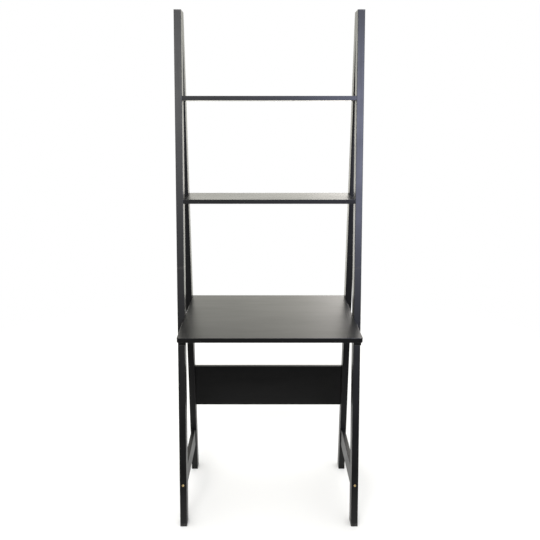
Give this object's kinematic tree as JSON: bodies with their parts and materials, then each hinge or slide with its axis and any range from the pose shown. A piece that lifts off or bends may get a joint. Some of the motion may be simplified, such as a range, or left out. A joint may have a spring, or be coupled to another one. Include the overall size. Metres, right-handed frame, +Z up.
{
  "type": "ladder desk",
  "caption": "A-frame ladder desk: leaning front posts and upright rear posts carry shallow shelves above a deep desk board with rounded front corners and a panel behind the knees.",
  "frame": {"origin": "on the floor, at the middle of the desk's width and depth", "axes": "+Z up, the front of the desk faces -Y, +X to the right of someone who faces the front"},
  "size_m": [0.65, 0.454, 1.8],
  "materials": {
    "frame_paint": "satin black paint",
    "board_paint": "satin black paint over a smooth board",
    "bolt_brass": "brass plated",
    "hardware_steel": "zinc plated"
  },
  "bodies": {
    "root": {"front_post_left_lower": "frame_paint", "front_post_left_upper": "frame_paint", "front_post_right_lower": "frame_paint", "front_post_right_upper": "frame_paint", "rear_post_left_lower": "frame_paint", "rear_post_left_upper": "frame_paint", "rear_post_right_lower": "frame_paint", "rear_post_right_upper": "frame_paint", "side_stretcher_left": "frame_paint", "side_stretcher_right": "frame_paint", "desk_bearer_left": "frame_paint", "desk_bearer_right": "frame_paint", "desk_top": "board_paint", "middle_shelf": "board_paint", "top_shelf": "board_paint", "modesty_panel": "board_paint", "stretcher_front_bolts": "bolt_brass", "stretcher_rear_bolts": "bolt_brass", "bearer_bolts": "bolt_brass", "shelf_bolts": "bolt_brass", "panel_bolts": "bolt_brass", "post_joint_studs": "hardware_steel", "post_joint_inserts": "hardware_steel", "stretcher_barrel_nuts": "hardware_steel", "bearer_inserts": "hardware_steel", "desk_screws": "hardware_steel", "apex_screws": "hardware_steel", "shelf_barrel_nuts": "hardware_steel", "panel_barrel_nuts": "hardware_steel"}
  },
  "joints": []
}
